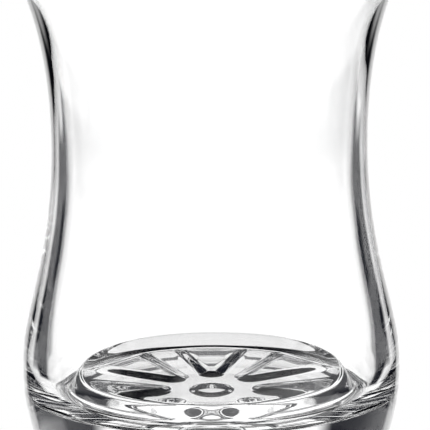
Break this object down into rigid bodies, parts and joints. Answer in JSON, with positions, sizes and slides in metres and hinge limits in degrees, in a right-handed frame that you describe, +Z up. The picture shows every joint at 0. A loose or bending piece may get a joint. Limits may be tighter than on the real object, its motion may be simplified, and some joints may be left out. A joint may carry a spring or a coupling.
{
  "type": "waisted tea glass",
  "caption": "Empty waisted tea glass in clear pressed glass, with a flared rim, a round belly and a thick base with a flower of hollows in its underside.",
  "frame": {"origin": "on the glass's axis, in the plane of the foot ring that it stands on", "axes": "+Z up along the glass's axis, towards the open rim; X and Y each point along a petal of the flower underneath"},
  "size_m": [0.063, 0.063, 0.086],
  "materials": {
    "glass": "clear, polished"
  },
  "bodies": {
    "root": {"glass": "glass"}
  },
  "joints": []
}
